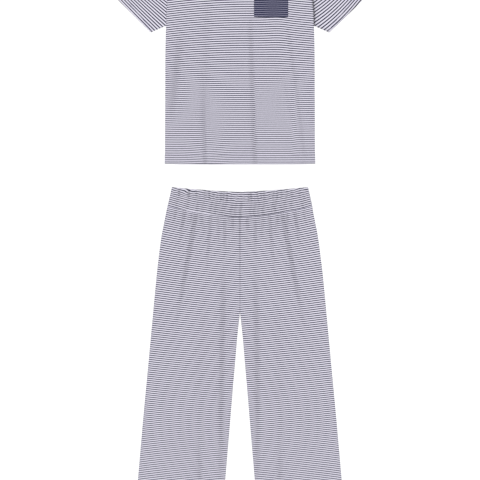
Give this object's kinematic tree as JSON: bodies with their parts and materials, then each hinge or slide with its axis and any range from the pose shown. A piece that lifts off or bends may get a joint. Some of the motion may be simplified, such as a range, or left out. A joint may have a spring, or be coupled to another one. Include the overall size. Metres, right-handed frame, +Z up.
{
  "type": "pyjama set",
  "caption": "Striped jersey pyjama set laid flat: short-sleeved tee with a chest pocket above wide-leg trousers with a gathered elastic waistband.",
  "frame": {"origin": "centre of the laid set, on the surface that it lies on", "axes": "+X to the right seen from above, which is the wearer's left; +Y from the trouser hems to the neck; +Z up off the surface"},
  "size_m": [0.745, 1.764, 0.0079],
  "materials": {
    "striped_jersey": "matt cotton jersey, fine navy and white stripes",
    "pocket_jersey": "matt cotton jersey, fine white stripes on navy"
  },
  "bodies": {
    "root": {"tee_front": "striped_jersey", "tee_back": "striped_jersey", "sleeve_right": "striped_jersey", "sleeve_left": "striped_jersey", "neckband_front": "striped_jersey", "neckband_back": "striped_jersey", "pocket": "pocket_jersey", "leg_front_right": "striped_jersey", "leg_front_left": "striped_jersey", "leg_back_right": "striped_jersey", "leg_back_left": "striped_jersey", "waistband_front": "striped_jersey", "waistband_back": "striped_jersey"}
  },
  "joints": []
}
